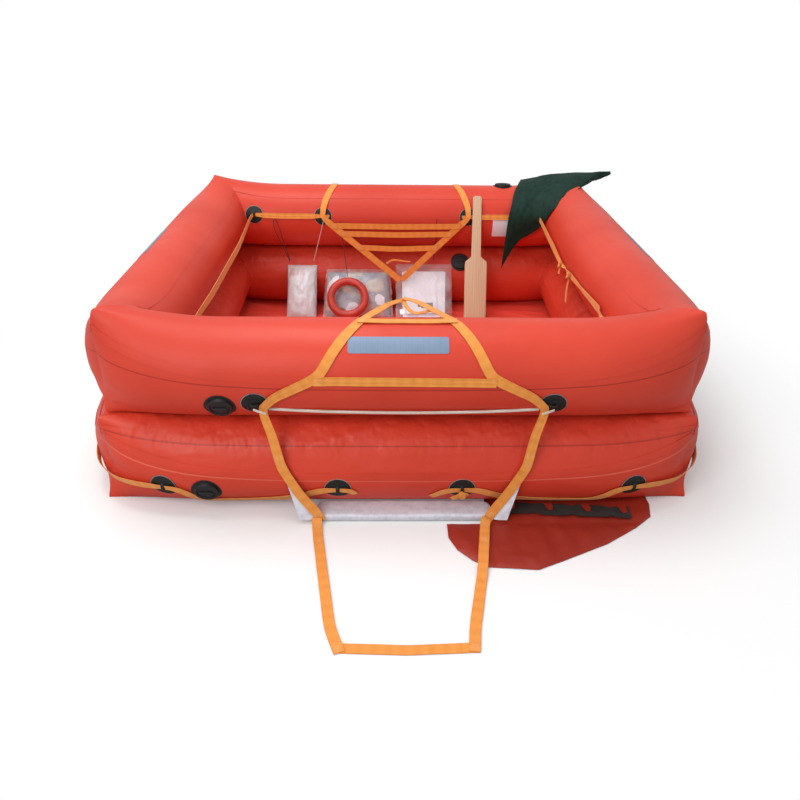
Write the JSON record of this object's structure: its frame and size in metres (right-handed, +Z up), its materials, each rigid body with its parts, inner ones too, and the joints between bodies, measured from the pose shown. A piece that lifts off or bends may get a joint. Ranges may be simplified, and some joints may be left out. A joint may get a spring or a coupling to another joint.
{
  "type": "inflatable life raft",
  "caption": "Open inflatable life raft, 2.0 x 1.9 m: two red buoyancy tubes, coated floor, webbing lifelines, boarding ladder and step, four valves, gas set and stowed gear.",
  "frame": {"origin": "on the ground under the middle of the raft, in the underside of the floor panel", "axes": "+Z up; -Y towards the boarding side with the front reflective tape and the step; +X to the right seen from there"},
  "size_m": [2.111, 2.464, 0.637],
  "materials": {
    "floor_red": "satin red coated fabric, thinner",
    "webbing_black": "woven webbing",
    "label_white": "plain film",
    "step_white": "coated cloth over a stiffener",
    "webbing_orange": "woven webbing",
    "bag_clear": "clear film bag, filled",
    "paper_white": "papers in a clear film bag",
    "cloth_green": "proofed dark green cloth",
    "pack_white": "white film pack",
    "tape_silver": "retroreflective film",
    "cylinder_grey": "plain satin paint",
    "pipe_steel": "bare steel",
    "valve_black": "moulded black plastic",
    "patch_black": "moulded black rubber",
    "cord_white": "braided cord",
    "coated_red": "satin red coated fabric",
    "head_brass": "bare brass",
    "wood_pale": "bare pale plywood",
    "cord_black": "braided cord",
    "quoit_red": "foam rubber ring"
  },
  "bodies": {
    "raft": {"ballast_pocket": "floor_red", "ballast_pocket_band": "webbing_black", "blank_label": "label_white", "boarding_step": "step_white", "boarding_step_left_stay": "webbing_orange", "boarding_step_loop": "webbing_orange", "boarding_step_right_stay": "webbing_orange", "clear_bag": "bag_clear", "cylinder_bands": "webbing_orange", "document_bag": "paper_white", "drogue": "cloth_green", "equipment_pack": "pack_white", "floor_panel": "floor_red", "front_ladder_left_strap": "webbing_orange", "front_ladder_right_strap": "webbing_orange", "front_ladder_rungs": "webbing_orange", "front_reflective_tape": "tape_silver", "gas_cylinder": "cylinder_grey", "inflation_pipes": "pipe_steel", "inlet_valves": "valve_black", "inner_lifeline_left": "webbing_orange", "inner_lifeline_patches": "patch_black", "inner_lifeline_right": "webbing_orange", "ladder_lashing": "cord_white", "ladder_patches": "patch_black", "left_reflective_tape": "tape_silver", "lower_tube": "coated_red", "operating_head": "head_brass", "outer_lifeline_left": "webbing_orange", "outer_lifeline_patches": "patch_black", "outer_lifeline_right": "webbing_orange", "pack_cord": "cord_white", "paddle": "wood_pale", "quoit_cord": "cord_black", "rear_foot_loop": "webbing_orange", "rear_ladder_left_strap": "webbing_orange", "rear_ladder_right_strap": "webbing_orange", "rear_ladder_rungs": "webbing_orange", "rear_reflective_tape": "tape_silver", "rescue_quoit": "quoit_red", "right_reflective_tape": "tape_silver", "upper_tube": "coated_red", "valve_bodies": "valve_black"},
    "cap_upper": {"valve_cap_upper": "valve_black"},
    "cap_lower": {"valve_cap_lower": "valve_black"},
    "cap_rear": {"valve_cap_rear": "valve_black"},
    "cap_inner": {"valve_cap_inner": "valve_black"}
  },
  "joints": [
    {"name": "cap_turn_upper", "type": "hinge", "parent": "raft", "child": "cap_upper", "pos_m": [-0.517, -0.92632, 0.37483], "axis": [0, -0.9063, -0.4226], "range_deg": [0, 90]},
    {"name": "cap_turn_lower", "type": "hinge", "parent": "raft", "child": "cap_lower", "pos_m": [-0.585, -0.95471, 0.09434], "axis": [0, -0.9511, -0.309], "range_deg": [0, 90]},
    {"name": "cap_turn_rear", "type": "hinge", "parent": "raft", "child": "cap_rear", "pos_m": [0.521, 0.80926, 0.58173], "axis": [0, 0.1045, 0.9945], "range_deg": [0, 90]},
    {"name": "cap_turn_inner", "type": "hinge", "parent": "raft", "child": "cap_inner", "pos_m": [0.322, 0.69465, 0.23603], "axis": [0, -0.7771, 0.6293], "range_deg": [0, 90]}
  ]
}
